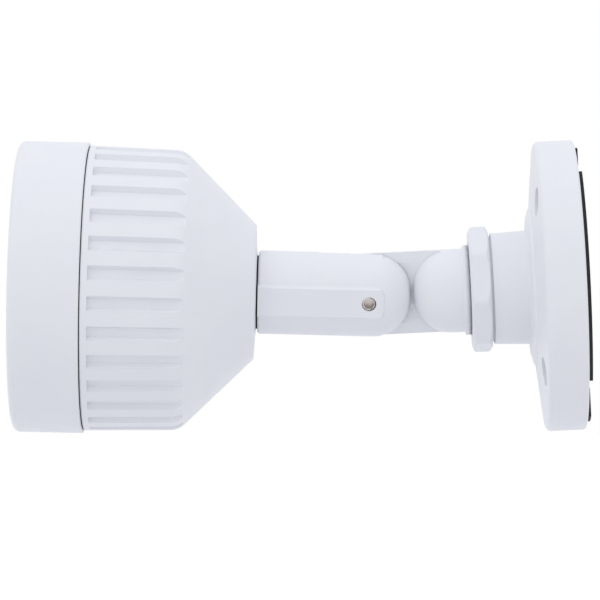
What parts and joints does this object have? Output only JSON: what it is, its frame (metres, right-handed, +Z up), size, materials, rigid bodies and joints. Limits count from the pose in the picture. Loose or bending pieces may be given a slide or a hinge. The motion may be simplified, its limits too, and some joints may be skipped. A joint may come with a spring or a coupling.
{
  "type": "security camera",
  "caption": "Small bullet security camera: ribbed tapered body with a front window ring, on a stem and knuckle joint over a round wall flange.",
  "frame": {"origin": "centre of the wall face, at the back of the gasket", "axes": "wall in the XZ plane with +Y into the wall, the camera points along -Y, +Z up"},
  "size_m": [0.0718, 0.1395, 0.0762],
  "materials": {
    "white_casting": "satin white powder coat",
    "black_rubber": "matt",
    "nylon": "smooth",
    "steel": "turned",
    "browned_steel": "browned",
    "blackened_steel": "oxide black",
    "window": "clear",
    "lens_glass": "coated",
    "black_metal": "anodised black",
    "black_plastic": "matt",
    "board": "solder mask",
    "led_lens": "tinted",
    "sensor_ceramic": "matt",
    "brass": "turned",
    "coil": "wound",
    "bare_aluminium": "milled",
    "connector_plastic": "smooth"
  },
  "bodies": {
    "wall_mount": {"base_plate": "white_casting", "base_gasket": "black_rubber", "pan_washer": "nylon"},
    "ring_follower": {"slip_washer": "steel"},
    "lock_ring": {"lock_ring": "white_casting"},
    "pan_arm": {"pan_knuckle": "white_casting"},
    "tilt_arm": {"stem_arm": "white_casting", "tilt_screw": "browned_steel", "spring_washer": "steel", "tilt_washer": "nylon", "tilt_lock_screw": "blackened_steel", "shaft_seal": "black_rubber", "swivel_shaft": "steel", "wave_washer": "steel", "shaft_nut": "steel"},
    "head": {"main_body": "white_casting", "body_seal": "black_rubber", "front_ring": "white_casting", "window_gasket": "black_rubber", "window_glass": "window", "window_retainer": "black_metal", "inner_bezel": "black_plastic", "lens_shield": "black_rubber", "led_board": "board", "ir_leds": "led_lens", "light_sensor": "sensor_ceramic", "led_posts": "brass", "led_screws": "steel", "lens_barrel": "black_metal", "lens_elements": "lens_glass", "lens_holder": "black_plastic", "ir_cut_coil": "coil", "image_sensor": "black_plastic", "sensor_board": "board", "sensor_spacers": "brass", "board_screws": "steel", "board_frame": "bare_aluminium", "frame_screws": "steel", "board_standoffs": "brass", "power_board": "board", "board_connector": "connector_plastic"},
    "filter_slide": {"ir_cut_filter": "lens_glass"}
  },
  "joints": [
    {"name": "pan", "type": "hinge", "parent": "wall_mount", "child": "pan_arm", "pos_m": [0, -0.0245, 0], "axis": [0, -1, 0], "range_deg": [-180, 180]},
    {"name": "ring_advance", "type": "slide", "parent": "wall_mount", "child": "ring_follower", "axis": [0, -1, 0], "range_m": [0, 0.001]},
    {"name": "ring_turn", "type": "hinge", "parent": "ring_follower", "child": "lock_ring", "pos_m": [0, -0.0245, 0], "axis": [0, -1, 0], "range_deg": [0, 360]},
    {"name": "tilt", "type": "hinge", "parent": "pan_arm", "child": "tilt_arm", "pos_m": [0, -0.05196, 0], "axis": [0.9724, 0, -0.2334], "range_deg": [-50, 94.2]},
    {"name": "head_turn", "type": "hinge", "parent": "tilt_arm", "child": "head", "pos_m": [0, -0.05196, 0], "axis": [0.0171, -0.9973, 0.0712], "range_deg": [-180, 180]},
    {"name": "filter_travel", "type": "slide", "parent": "head", "child": "filter_slide", "axis": [0.9724, 0, -0.2334], "range_m": [0, 0.006]}
  ],
  "couplings": [
    {"joint": "ring_advance", "follows": "ring_turn", "m_per_rad": 0.000159}
  ]
}
